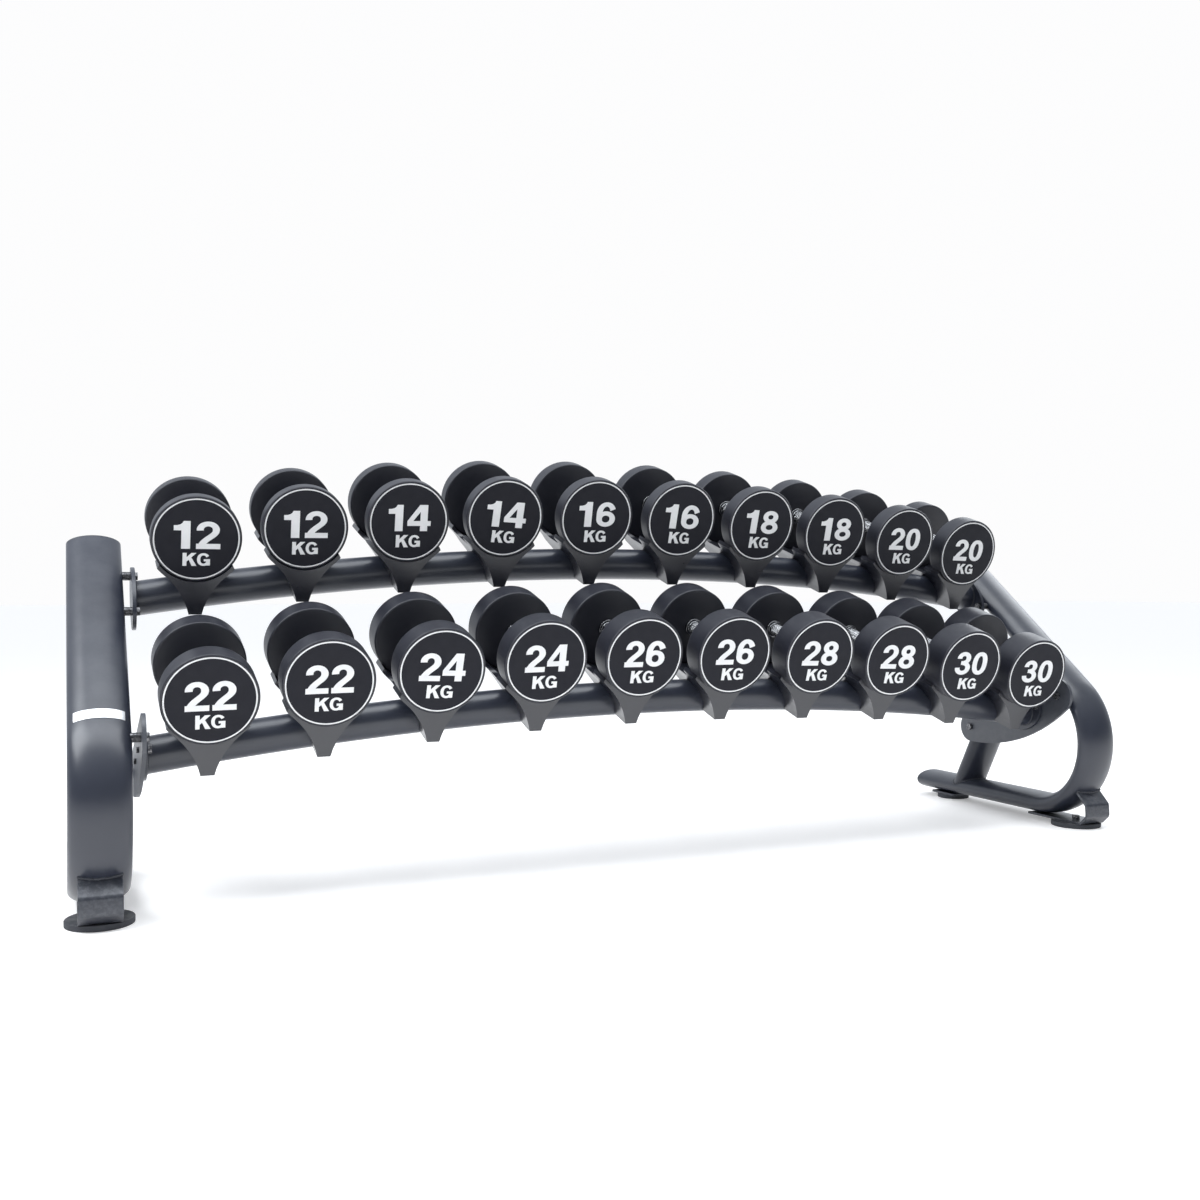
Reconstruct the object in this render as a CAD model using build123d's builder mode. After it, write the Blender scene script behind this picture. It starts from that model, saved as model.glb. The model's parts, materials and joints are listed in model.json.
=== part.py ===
"""Two-tier arched dumbbell rack, loaded with ten pairs of round-head dumbbells.

Frame: +X along the rack's length, +Y from the user to the back, +Z up, floor at Z = 0.
The origin is on the floor, midway along the length and the depth. Millimetres.
"""

from build123d import *
from math import asin, cos, degrees, radians, sin, sqrt
import os

os.makedirs("parts", exist_ok=True)

# ---------------------------------------------------------------- driving dimensions
# End frames: one elliptical tube, bent into a base, a round front and a leaning post.
FRAME_X = 1220.0            # centre plane of each end frame
TUBE_A = 57.0               # half width of the tube, along X
TUBE_B = 27.0               # half thickness of the tube, in the side plane
WALL = 3.0
BASE_Z = 45.0               # centreline height of the base run
BASE_REAR_Y = 353.0
BEND_Y = -129.5             # centre of the front bend
BEND_R = 180.0              # centreline radius of the front bend
POST_ANGLE = 38.0           # the post's slope above the floor
POST_LENGTH = 596.0
CAP_T = 4.0
CAP_PLUG = 14.0
CAP_SOFT = 2.5              # rounding of a cap's outer edge

# Rear strut of each end frame.
STRUT_A = 54.0
STRUT_B = 27.0
STRUT_FOOT_Y = 189.0        # where its axis meets the base's centreline
STRUT_LEAN = 28.3           # forward lean from the vertical
STRUT_LENGTH = 247.0

# Plates between the frames and the rails.
PLATE_T = 8.0
PLATE_GAP = 16.0            # between the tube's inner edge and the plate
GUSSET_FRONT = (-257.0, 352.0)
GUSSET_REAR = (83.0, 237.0)
GUSSET_FRONT_R = 46.0
GUSSET_REAR_R = 42.0
GUSSET_BELLY = (-107.0, 220.0)  # the lowest part of its curved underside
BOLT_SINK = 4.0             # the post's bolts sit this far below its centreline

# Tiers: the middle of a dumbbell at mid-length, and what all of them share.
TIER_MID = {"upper": (44.0, 839.0), "lower": (-198.0, 524.6)}
TILT = 16.5                 # the dumbbells' fronts point down by this angle
ARC_R = 7000.0              # the rails arch up in the middle
ARC_SLOPE = 64.8            # slope of the plane that the arch lies in
PITCH = 228.0               # spacing along the arch
PER_TIER = 10

# Rails.
RAIL_R = 38.0
RAIL_WALL = 3.0
RAIL_SHIFT = -18.0          # the rail's centre, along the dumbbell's axis

# Saddles.
SEAT_GAP = 0.4
SEAT_T = 8.0
SADDLE_HALF = 110.0
LIP_X = 75.0
WEB_BOTTOM = 166.0          # below the dumbbell's axis
WEB_BOTTOM_HALF = 13.5
WEB_WAIST = (31.0, -120.0)  # a point of the web's curved flank
WEB_FRONT = 26.0            # the web's foot starts this far before the rail's centre
WEB_REAR = 34.0             # and its cut-away rises from this far behind it
CUT_SLACK = 4.0             # cuts run past the web's edges by this much
HAND_SLOT = (96.0, 44.0, -62.0)  # length, height and level of the dip in the lips
BORE_GAP = 0.4

# Dumbbells.
HEAD_R = 93.5
GRIP_GAP = 148.0            # clear length between the heads
GRIP_R = 16.0
COLLAR_R = 22.0
COLLAR_T = 6.0
SPIGOT = 14.0               # length of the bar inside each head
FACE_R = 88.5
FACE_DEPTH = 1.2
HEAD_SOFT = 3.5             # rounding of a head's edges
COLLAR_SOFT = 1.5
WEIGHTS = {"upper": (12, 14, 16, 18, 20), "lower": (22, 24, 26, 28, 30)}

# Fasteners and feet.
BOLT_R = 6.0
BOLT_HEAD_R = 10.0
BOLT_HEAD_H = 7.5
BUSH_R = 9.5
CLEARANCE = 0.2
FRONT_PAD_Y = -242.0
REAR_PAD_Y = 255.0
FRONT_PAD_R = 63.5
REAR_PAD_R = 46.0
PAD_H = 12.0
FOOT_T = 6.0
STRAP_HALF = 39.5
STRAP_BEND = 9.0            # radius of the strap's bends
PAD_SOFT = 1.5              # rounding of a pad's edges
PAD_POCKET = 5.0            # depth of the pocket for the bolt's round head
FOOT_BOLT_R = 5.0
FOOT_NUT_H = 9.0
REAR_PLATE = (84.0, 104.0, 8.0)  # width, length and corner radius
BADGE_START = 6.0           # the badge's lower edge, along the post from the bend
SCREW_R = 4.0               # thread-forming screws, driven into the rail's wall
SCREW_HEAD_R = 7.0
SCREW_HEAD_H = 4.5
SCREW_LENGTH = 24.0

# ---------------------------------------------------------------- derived dimensions
PLATE_OUTER_X = FRAME_X - TUBE_A - PLATE_GAP
PLATE_INNER_X = PLATE_OUTER_X - PLATE_T
POST_DIR = (0.0, cos(radians(POST_ANGLE)), sin(radians(POST_ANGLE)))
POST_UP = (0.0, -sin(radians(POST_ANGLE)), cos(radians(POST_ANGLE)))
BEND_Z = BASE_Z + BEND_R
POST_START = (BEND_Y + BEND_R * POST_UP[1], BEND_Z + BEND_R * POST_UP[2])
STRUT_DIR = (0.0, -sin(radians(STRUT_LEAN)), cos(radians(STRUT_LEAN)))
AXIS_Y, AXIS_Z = cos(radians(TILT)), sin(radians(TILT))
UP_Y, UP_Z = -sin(radians(TILT)), cos(radians(TILT))
SEAT_R = HEAD_R + SEAT_GAP
SADDLE_R = SEAT_R + SEAT_T
RAIL_DROP = SADDLE_R + RAIL_R + CLEARANCE
SAG_Y, SAG_Z = cos(radians(ARC_SLOPE)), -sin(radians(ARC_SLOPE))


def tier_point(tier, angle, along=0.0, down=0.0):
    """A point of a tier: angle round the arch, then along the axis and below it."""
    mid_y, mid_z = TIER_MID[tier]
    sag = ARC_R * (1 - cos(angle))
    y = mid_y + sag * SAG_Y + along * AXIS_Y - down * UP_Y
    z = mid_z + sag * SAG_Z + along * AXIS_Z - down * UP_Z
    return (ARC_R * sin(angle), y, z)


def station_angle(station):
    """Angle round the arch of one of a tier's stations, counted from the left."""
    return (station - (PER_TIER - 1) / 2) * PITCH / ARC_R


def station_plane(tier, station):
    """Upright plane across a dumbbell's middle, facing the user; its local Y is up."""
    origin = tier_point(tier, station_angle(station))
    return Plane(origin=origin, x_dir=(1, 0, 0), z_dir=(0, -AXIS_Y, -AXIS_Z))


def rail_end(tier, x):
    """Y and Z of a rail's centreline where it meets the plane at x."""
    point = tier_point(tier, asin(x / ARC_R), RAIL_SHIFT, RAIL_DROP)
    return point[1], point[2]


def along_post(distance, lift=0.0):
    """Y and Z of a point on the post, from the bend's end, lifted off its centreline."""
    y = POST_START[0] + distance * POST_DIR[1] + lift * POST_UP[1]
    z = POST_START[1] + distance * POST_DIR[2] + lift * POST_UP[2]
    return y, z


def head_thickness(weight):
    """Thickness of a dumbbell's head, in millimetres for its weight in kilograms."""
    return 5.0 + 2.3 * weight


def save(name, label):
    """Label a finished piece and write it."""
    name.part.label = label
    export_step(name.part, f"parts/{label}.step")


# ---------------------------------------------------------------- end frames
def frame_bar(half_width, half_thick):
    """The end frame's path filled with one elliptical section."""
    start = Plane(origin=(FRAME_X, BEND_Y, BASE_Z), x_dir=(1, 0, 0), z_dir=(0, 1, 0))
    finish = Plane(origin=(FRAME_X, *POST_START), x_dir=(1, 0, 0), z_dir=POST_DIR)
    bend_axis = Axis((FRAME_X, BEND_Y, BEND_Z), (-1, 0, 0))
    with BuildPart() as bar:
        with BuildSketch(start):
            Ellipse(half_width, half_thick)
        extrude(amount=BASE_REAR_Y - BEND_Y)
        with BuildSketch(start):
            Ellipse(half_width, half_thick)
        revolve(axis=bend_axis, revolution_arc=180 - POST_ANGLE)
        with BuildSketch(finish):
            Ellipse(half_width, half_thick)
        extrude(amount=POST_LENGTH)
    return bar.part


def strut_bar(half_width, half_thick, length):
    """The strut's path filled with one elliptical section."""
    foot = Plane(origin=(FRAME_X, STRUT_FOOT_Y, BASE_Z), x_dir=(1, 0, 0), z_dir=STRUT_DIR)
    with BuildPart() as bar:
        with BuildSketch(foot):
            Ellipse(half_width, half_thick)
        extrude(amount=length)
    return bar.part


frame_solid = frame_bar(TUBE_A, TUBE_B)
strut_solid = strut_bar(STRUT_A, STRUT_B, STRUT_LENGTH)

# The upper flange sits on the rail's end; its bolts lie along the post's centreline.
UPPER_END = rail_end("upper", PLATE_INNER_X)
LOWER_END = rail_end("lower", PLATE_INNER_X - PLATE_T)
FLANGE_A, FLANGE_B = 85.0, 52.0
FLANGE_TURN = 42.0
UPPER_BOLT_SPREAD = 62.0
post_reach = (UPPER_END[0] - POST_START[0]) * POST_DIR[1] + (UPPER_END[1] - POST_START[1]) * POST_DIR[2]
upper_bolts = [along_post(post_reach + side * UPPER_BOLT_SPREAD, -BOLT_SINK) for side in (-1, 1)]
frame_bolts_at = upper_bolts + [GUSSET_FRONT]
all_bolts_at = frame_bolts_at + [GUSSET_REAR]

with BuildPart() as right_end_frame:
    add(frame_solid)
    add(frame_bar(TUBE_A - WALL, TUBE_B - WALL), mode=Mode.SUBTRACT)
    with BuildSketch(Plane.YZ.offset(PLATE_OUTER_X)):
        with Locations(*frame_bolts_at):
            Circle(BOLT_R + CLEARANCE)
    extrude(amount=PLATE_GAP + TUBE_A, mode=Mode.SUBTRACT)
save(right_end_frame, "right_end_frame")

with BuildPart() as left_end_frame:
    mirror(right_end_frame.part, about=Plane.YZ)
save(left_end_frame, "left_end_frame")

with BuildPart() as strut:
    add(strut_solid)
    add(strut_bar(STRUT_A - WALL, STRUT_B - WALL, STRUT_LENGTH - WALL), mode=Mode.SUBTRACT)
    add(frame_solid, mode=Mode.SUBTRACT)
    with BuildSketch(Plane.YZ.offset(PLATE_OUTER_X)):
        with Locations(GUSSET_REAR):
            Circle(BOLT_R + CLEARANCE)
    extrude(amount=PLATE_GAP + TUBE_A, mode=Mode.SUBTRACT)
    mirror(about=Plane.YZ)
save(strut, "struts")

# ---------------------------------------------------------------- tube caps
post_top = Plane(origin=(FRAME_X, *along_post(POST_LENGTH)), x_dir=(1, 0, 0), z_dir=POST_DIR)
base_end = Plane(origin=(FRAME_X, BASE_REAR_Y, BASE_Z), x_dir=(1, 0, 0), z_dir=(0, 1, 0))


def cap(plane):
    """Cap on a tube's end, with a hollow plug inside the tube, and its mirror image."""
    with BuildPart() as piece:
        with BuildSketch(plane):
            Ellipse(TUBE_A, TUBE_B)
        extrude(amount=CAP_T)
        fillet(piece.edges().group_by(Axis(plane.origin, plane.z_dir))[-1], CAP_SOFT)
        with BuildSketch(plane):
            Ellipse(TUBE_A - WALL - CLEARANCE, TUBE_B - WALL - CLEARANCE)
            Ellipse(TUBE_A - 2.5 * WALL, TUBE_B - 2.5 * WALL, mode=Mode.SUBTRACT)
        extrude(amount=-CAP_PLUG)
        mirror(about=Plane.YZ)
    return piece


save(cap(post_top), "post_caps")
save(cap(base_end), "base_caps")

# ---------------------------------------------------------------- rails


def rail(tier, end_x):
    """Arched round tube with its ends cut upright."""
    centre = tier_point(tier, 0, RAIL_SHIFT, RAIL_DROP)
    arc_centre = (0, centre[1] + ARC_R * SAG_Y, centre[2] + ARC_R * SAG_Z)
    half = degrees(asin(end_x / ARC_R)) + 0.8
    start = tier_point(tier, radians(-half), RAIL_SHIFT, RAIL_DROP)
    tangent = (cos(radians(half)), sin(radians(half)) * -SAG_Y, sin(radians(half)) * -SAG_Z)
    profile = Plane(origin=start, z_dir=tangent)
    arc_axis = Axis(arc_centre, (0, -SAG_Z, SAG_Y))
    with BuildPart() as tube:
        with BuildSketch(profile):
            Circle(RAIL_R)
            Circle(RAIL_R - RAIL_WALL, mode=Mode.SUBTRACT)
        revolve(axis=arc_axis, revolution_arc=2 * half)
        split(bisect_by=Plane.YZ.offset(end_x), keep=Keep.BOTTOM)
        split(bisect_by=Plane.YZ.offset(-end_x), keep=Keep.TOP)
    return tube


upper_rail = rail("upper", PLATE_INNER_X)
save(upper_rail, "upper_rail")
lower_rail = rail("lower", PLATE_INNER_X - PLATE_T)
save(lower_rail, "lower_rail")

# ---------------------------------------------------------------- plates
GUSSET_TURN = -19.0
LOWER_FLANGE_A, LOWER_FLANGE_B = 68.0, 50.0
LOWER_BOLT_SPREAD = 55.0
turn = radians(GUSSET_TURN)
lower_bolts = [
    (LOWER_END[0] + side * LOWER_BOLT_SPREAD * cos(turn), LOWER_END[1] + side * LOWER_BOLT_SPREAD * sin(turn))
    for side in (-1, 1)
]

with BuildPart() as rail_flanges:
    with BuildSketch(Plane.YZ.offset(PLATE_INNER_X)):
        with Locations(UPPER_END):
            Ellipse(FLANGE_A, FLANGE_B, rotation=FLANGE_TURN)
        with Locations(*upper_bolts):
            Circle(BOLT_R + CLEARANCE, mode=Mode.SUBTRACT)
    extrude(amount=PLATE_T)
    with BuildSketch(Plane.YZ.offset(PLATE_INNER_X - PLATE_T)):
        with Locations(LOWER_END):
            Ellipse(LOWER_FLANGE_A, LOWER_FLANGE_B, rotation=GUSSET_TURN)
        with Locations(*lower_bolts):
            Circle(BOLT_R + CLEARANCE, mode=Mode.SUBTRACT)
    extrude(amount=PLATE_T)
    mirror(about=Plane.YZ)
save(rail_flanges, "rail_flanges")

# Gusset: a hull-shaped plate from the front bend to the strut, under the lower rail.
rear_y, rear_z = GUSSET_REAR
front_y, front_z = GUSSET_FRONT
gusset_top_front = (front_y + GUSSET_FRONT_R * sin(-turn), front_z + GUSSET_FRONT_R * cos(turn))
gusset_top_rear = (rear_y + GUSSET_REAR_R * sin(-turn), rear_z + GUSSET_REAR_R * cos(turn))
gusset_low_rear = (rear_y - 6, rear_z - GUSSET_REAR_R * cos(radians(8)))
gusset_low_front = (front_y - GUSSET_FRONT_R * cos(radians(40)), front_z - GUSSET_FRONT_R * sin(radians(40)))

with BuildPart() as gusset_plates:
    with BuildSketch(Plane.YZ.offset(PLATE_INNER_X)):
        with BuildLine():
            Line(gusset_top_front, gusset_top_rear)
            ThreePointArc(gusset_top_rear, (rear_y + GUSSET_REAR_R, rear_z - 4), gusset_low_rear)
            ThreePointArc(gusset_low_rear, GUSSET_BELLY, gusset_low_front)
            ThreePointArc(gusset_low_front, (front_y - GUSSET_FRONT_R, front_z + 2), gusset_top_front)
        make_face()
        with Locations(GUSSET_FRONT, GUSSET_REAR, *lower_bolts):
            Circle(BOLT_R + CLEARANCE, mode=Mode.SUBTRACT)
    extrude(amount=PLATE_T)
    mirror(about=Plane.YZ)
save(gusset_plates, "gusset_plates")

# ---------------------------------------------------------------- bushes and bolts
with BuildPart() as standoff_bushes:
    with BuildSketch(Plane.YZ.offset(PLATE_OUTER_X)):
        with Locations(*all_bolts_at):
            Circle(BUSH_R)
            Circle(BOLT_R + CLEARANCE, mode=Mode.SUBTRACT)
    extrude(amount=PLATE_GAP + 9)
    add(frame_solid, mode=Mode.SUBTRACT)
    add(strut_solid, mode=Mode.SUBTRACT)
    mirror(about=Plane.YZ)
save(standoff_bushes, "standoff_bushes")


def bolts(spots, face_x, shank):
    """Hexagon bolts at the given spots, heads on the rack's inner side, both ends."""
    with BuildPart() as group:
        with BuildSketch(Plane.YZ.offset(face_x)):
            with Locations(*spots):
                Circle(BOLT_R)
        extrude(amount=shank)
        with BuildSketch(Plane.YZ.offset(face_x)):
            with Locations(*spots):
                RegularPolygon(BOLT_HEAD_R, 6)
        extrude(amount=-BOLT_HEAD_H)
        mirror(about=Plane.YZ)
    return group


save(bolts(all_bolts_at, PLATE_INNER_X, PLATE_T + PLATE_GAP + 20), "frame_bolts")
save(bolts(lower_bolts, PLATE_INNER_X - PLATE_T, 2 * PLATE_T + 5), "flange_bolts")

# ---------------------------------------------------------------- badge on the left post
BADGE_HALF = 46.0
BADGE_T = 0.9
BADGE_LENGTH = 25.0
badge_plane = Plane(origin=(-FRAME_X, *along_post(BADGE_START)), x_dir=(1, 0, 0), z_dir=POST_DIR)
with BuildPart() as left_badge:
    with BuildSketch(badge_plane):
        Ellipse(TUBE_A + BADGE_T, TUBE_B + BADGE_T)
        Ellipse(TUBE_A + 0.05, TUBE_B + 0.05, mode=Mode.SUBTRACT)
        with Locations((0, -(TUBE_B / 2 + 14))):
            Rectangle(2 * BADGE_HALF, TUBE_B + 18, mode=Mode.INTERSECT)
    extrude(amount=BADGE_LENGTH)
save(left_badge, "left_badge")

# ---------------------------------------------------------------- feet
FOOT_MID_Z = PAD_H + FOOT_T / 2
# The strap runs down the front bend, steps in under it and ends behind the pad's middle.
strap_points = [
    (BEND_Y - 155, 96),
    (BEND_Y - 186, 66),
    (BEND_Y - 188, 36),
    (BEND_Y - 166, FOOT_MID_Z),
    (BEND_Y + 24, FOOT_MID_Z),
]

with BuildPart() as foot_straps:
    with BuildSketch(Plane.YZ.offset(FRAME_X - STRAP_HALF)):
        with BuildLine():
            FilletPolyline(*strap_points, radius=STRAP_BEND)
        trace(line_width=FOOT_T)
    extrude(amount=2 * STRAP_HALF)
    add(frame_solid, mode=Mode.SUBTRACT)
    with BuildSketch(Plane.XY):
        with Locations((FRAME_X, FRONT_PAD_Y)):
            Circle(FOOT_BOLT_R + CLEARANCE)
    extrude(amount=PAD_H + FOOT_T + 1, mode=Mode.SUBTRACT)
    mirror(about=Plane.YZ)
save(foot_straps, "foot_straps")

with BuildPart() as rear_foot_plates:
    with BuildSketch(Plane.XY.offset(PAD_H)):
        with Locations((FRAME_X, REAR_PAD_Y)):
            RectangleRounded(*REAR_PLATE)
            Circle(FOOT_BOLT_R + CLEARANCE, mode=Mode.SUBTRACT)
    extrude(amount=FOOT_T)
    mirror(about=Plane.YZ)
save(rear_foot_plates, "rear_foot_plates")

def pad(y, radius):
    """Round rubber pad with a stepped hole for its bolt."""
    with BuildPart() as piece:
        with BuildSketch(Plane.XY):
            with Locations((FRAME_X, y)):
                Circle(radius)
        extrude(amount=PAD_H)
        fillet(piece.edges().filter_by(GeomType.CIRCLE), PAD_SOFT)
        with BuildSketch(Plane.XY):
            with Locations((FRAME_X, y)):
                Circle(FOOT_BOLT_R + CLEARANCE)
        extrude(amount=PAD_H, mode=Mode.SUBTRACT)
        with BuildSketch(Plane.XY):
            with Locations((FRAME_X, y)):
                Circle(BOLT_HEAD_R + 1)
        extrude(amount=PAD_POCKET, mode=Mode.SUBTRACT)
    return piece.part


with BuildPart() as foot_pads:
    add(pad(FRONT_PAD_Y, FRONT_PAD_R))
    add(pad(REAR_PAD_Y, REAR_PAD_R))
    mirror(about=Plane.YZ)
save(foot_pads, "foot_pads")

with BuildPart() as foot_bolts:
    with BuildSketch(Plane.XY.offset(PAD_POCKET)):
        with Locations((FRAME_X, FRONT_PAD_Y), (FRAME_X, REAR_PAD_Y)):
            Circle(FOOT_BOLT_R)
    extrude(amount=PAD_H + FOOT_T - PAD_POCKET)
    with BuildSketch(Plane.XY.offset(PAD_POCKET - 4)):
        with Locations((FRAME_X, FRONT_PAD_Y), (FRAME_X, REAR_PAD_Y)):
            Circle(BOLT_HEAD_R)
    extrude(amount=4)
    with BuildSketch(Plane.XY.offset(PAD_H + FOOT_T)):
        with Locations((FRAME_X, FRONT_PAD_Y)):
            RegularPolygon(BOLT_HEAD_R, 6)
    extrude(amount=FOOT_NUT_H)
    mirror(about=Plane.YZ)
save(foot_bolts, "foot_bolts")


# ---------------------------------------------------------------- saddles
lip_low = -sqrt(SEAT_R**2 - LIP_X**2)
lip_out = LIP_X + 4
lip_out_low = -sqrt(SADDLE_R**2 - lip_out**2)
flare = (73, -sqrt(SADDLE_R**2 - 73**2))
web_top = (66, -sqrt(SADDLE_R**2 - 66**2))
web_foot = (WEB_BOTTOM_HALF, -WEB_BOTTOM)

# Cross-section of a saddle: the cradle, its lips and the web that narrows downwards.
with BuildSketch() as saddle_section:
    with BuildLine():
        ThreePointArc((0, -SEAT_R), (LIP_X / 2, -sqrt(SEAT_R**2 - LIP_X**2 / 4)), (LIP_X, lip_low))
        Line((LIP_X, lip_low), (lip_out, lip_out_low))
        ThreePointArc((lip_out, lip_out_low), flare, web_top)
        ThreePointArc(web_top, WEB_WAIST, web_foot)
        Line(web_foot, (0, -WEB_BOTTOM))
        Line((0, -WEB_BOTTOM), (0, -SEAT_R))
    make_face()
    mirror(about=Plane.YZ)


def side_plane(tier, station):
    """The saddle's upright middle plane: local X runs back, local Y runs up."""
    origin = tier_point(tier, station_angle(station))
    return Plane(origin=origin, x_dir=(0, AXIS_Y, AXIS_Z), z_dir=(1, 0, 0))


def saddle(tier, station):
    """One saddle: a web before and behind the rail, joined by the cradle over it."""
    angle = station_angle(station)
    across = station_plane(tier, station)
    side = side_plane(tier, station)
    rail_centre = tier_point(tier, angle, RAIL_SHIFT, RAIL_DROP)
    tangent = (cos(angle), sin(angle) * SAG_Y, sin(angle) * SAG_Z)
    with BuildPart() as piece:
        with BuildSketch(across.offset(SADDLE_HALF)):
            add(saddle_section.sketch)
        extrude(amount=-2 * SADDLE_HALF)
        # The rail's bore, along the rail's own direction.
        with BuildSketch(Plane(origin=rail_centre, z_dir=tangent)):
            Circle(RAIL_R + BORE_GAP)
        extrude(amount=SADDLE_R, both=True, mode=Mode.SUBTRACT)
        with BuildSketch(side):
            # Under the rail and rising to the back, the web is cut away.
            with BuildLine():
                Polyline(
                    (RAIL_SHIFT - WEB_FRONT, -WEB_BOTTOM - CUT_SLACK),
                    (RAIL_SHIFT, -RAIL_DROP),
                    (RAIL_SHIFT + WEB_REAR, -RAIL_DROP - CUT_SLACK),
                    (SADDLE_HALF + CUT_SLACK, -SADDLE_R - 1.5 * CUT_SLACK),
                    (SADDLE_HALF + CUT_SLACK, -WEB_BOTTOM - CUT_SLACK),
                    close=True,
                )
            make_face()
        extrude(amount=SADDLE_R, both=True, mode=Mode.SUBTRACT)
        # The lips drop between the heads, to leave room for the hand.
        with BuildSketch(side):
            with Locations((0, HAND_SLOT[2])):
                SlotOverall(HAND_SLOT[0], HAND_SLOT[1])
        extrude(amount=SADDLE_R, both=True, mode=Mode.SUBTRACT)
        with BuildSketch(Plane(origin=rail_centre, x_dir=(1, 0, 0), z_dir=(0, UP_Y, UP_Z))):
            Circle(SCREW_R + CLEARANCE)
        extrude(amount=RAIL_DROP, mode=Mode.SUBTRACT)
        seat = tier_point(tier, angle, RAIL_SHIFT, SADDLE_R - SEAT_T + SCREW_HEAD_H + 0.5)
        with BuildSketch(Plane(origin=seat, x_dir=(1, 0, 0), z_dir=(0, UP_Y, UP_Z))):
            Circle(SCREW_HEAD_R + CLEARANCE)
        extrude(amount=20, mode=Mode.SUBTRACT)
    return piece.part


def saddle_row(tier):
    """All of a tier's saddles, as one group of separate solids."""
    with BuildPart() as row:
        for station in range(PER_TIER):
            add(saddle(tier, station))
    return row


save(saddle_row("upper"), "upper_saddles")
save(saddle_row("lower"), "lower_saddles")

with BuildPart() as saddle_screws:
    for tier in TIER_MID:
        for station in range(PER_TIER):
            depth = SADDLE_R - SEAT_T + SCREW_HEAD_H + 0.5
            at = tier_point(tier, station_angle(station), RAIL_SHIFT, depth)
            plane = Plane(origin=at, x_dir=(1, 0, 0), z_dir=(0, UP_Y, UP_Z))
            with BuildSketch(plane):
                Circle(SCREW_HEAD_R)
            extrude(amount=SCREW_HEAD_H)
            with BuildSketch(plane):
                Circle(SCREW_R)
            extrude(amount=-SCREW_LENGTH)
save(saddle_screws, "saddle_screws")


# ---------------------------------------------------------------- dumbbells
def heads(plane, thickness):
    """Both heads of a dumbbell: round, soft-edged, with a shallow inset end face."""
    with BuildPart() as pair:
        for side in (1, -1):
            with BuildSketch(plane.offset(side * GRIP_GAP / 2)):
                Circle(HEAD_R)
            extrude(amount=side * thickness)
        fillet(pair.edges().filter_by(GeomType.CIRCLE), HEAD_SOFT)
        for side in (1, -1):
            with BuildSketch(plane.offset(side * (GRIP_GAP / 2 + thickness))):
                Circle(FACE_R)
            extrude(amount=-side * FACE_DEPTH, mode=Mode.SUBTRACT)
            with BuildSketch(plane.offset(side * GRIP_GAP / 2)):
                Circle(GRIP_R)
            extrude(amount=side * SPIGOT, mode=Mode.SUBTRACT)
    return pair


def handle(plane):
    """A dumbbell's bar: a round grip with a collar against each head."""
    with BuildPart() as bar:
        with BuildSketch(plane):
            Circle(GRIP_R)
        extrude(amount=GRIP_GAP / 2 + SPIGOT, both=True)
        for side in (1, -1):
            with BuildSketch(plane.offset(side * GRIP_GAP / 2)):
                Circle(COLLAR_R)
            extrude(amount=-side * COLLAR_T)
        fillet(bar.edges().filter_by(GeomType.CIRCLE).group_by(SortBy.LENGTH)[-1], COLLAR_SOFT)
    return bar


for tier, weights in WEIGHTS.items():
    for station in range(PER_TIER):
        weight = weights[station // 2]
        name = f"dumbbell_{weight}_{'ab'[station % 2]}"
        middle = station_plane(tier, station)
        save(heads(middle, head_thickness(weight)), f"{name}_heads")
        save(handle(middle), f"{name}_handle")
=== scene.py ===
"""Finish for the two-tier dumbbell rack: coats, rubber, chrome, marks, studio and camera."""

import json
import math
import random

import bmesh
import bpy
from mathutils import Matrix, Vector


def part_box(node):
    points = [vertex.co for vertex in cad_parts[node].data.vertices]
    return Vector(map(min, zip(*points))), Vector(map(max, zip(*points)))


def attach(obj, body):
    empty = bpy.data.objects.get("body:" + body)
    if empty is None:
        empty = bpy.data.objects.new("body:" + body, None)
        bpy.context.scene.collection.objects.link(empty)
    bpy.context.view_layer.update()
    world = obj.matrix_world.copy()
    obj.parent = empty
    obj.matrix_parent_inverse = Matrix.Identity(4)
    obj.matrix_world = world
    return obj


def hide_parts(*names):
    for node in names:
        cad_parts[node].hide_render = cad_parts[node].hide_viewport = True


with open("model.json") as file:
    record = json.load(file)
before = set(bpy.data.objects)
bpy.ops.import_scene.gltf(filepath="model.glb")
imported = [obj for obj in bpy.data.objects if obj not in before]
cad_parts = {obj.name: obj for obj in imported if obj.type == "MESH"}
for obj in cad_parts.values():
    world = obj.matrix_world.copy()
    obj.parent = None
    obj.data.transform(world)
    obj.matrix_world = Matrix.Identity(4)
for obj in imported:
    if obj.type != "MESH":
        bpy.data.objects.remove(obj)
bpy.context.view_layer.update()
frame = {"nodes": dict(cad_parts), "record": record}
body_of_node = {node: body for body, nodes in frame["record"]["behaviour"]["bodies"].items() for node in nodes}

# ---------------------------------------------------------------- dimensions, in metres
FRAME_X = 1.220
TUBE = (0.057, 0.027)            # half width and half thickness of the end-frame tube
BASE_Z = 0.045
BEND = Vector((-0.1295, 0.225))  # centre of the front bend, Y and Z
BEND_R = 0.180
POST_ANGLE = math.radians(38)
POST_LENGTH = 0.596              # from the end of the bend to the post's top
STRUT = (0.054, 0.027)
STRUT_FOOT_Y = 0.189
STRUT_LEAN = math.radians(28.3)
STRUT_LENGTH = 0.247
RAIL_R = 0.038
ARC_R = 7.0
ARC_SLOPE = math.radians(64.8)
TILT = math.radians(16.5)
STRAP_HALF = 0.0395
STRAP_TIP = Vector((-0.155, -0.124)).normalized()  # from the bend's centre to the strap's upper edge

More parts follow.
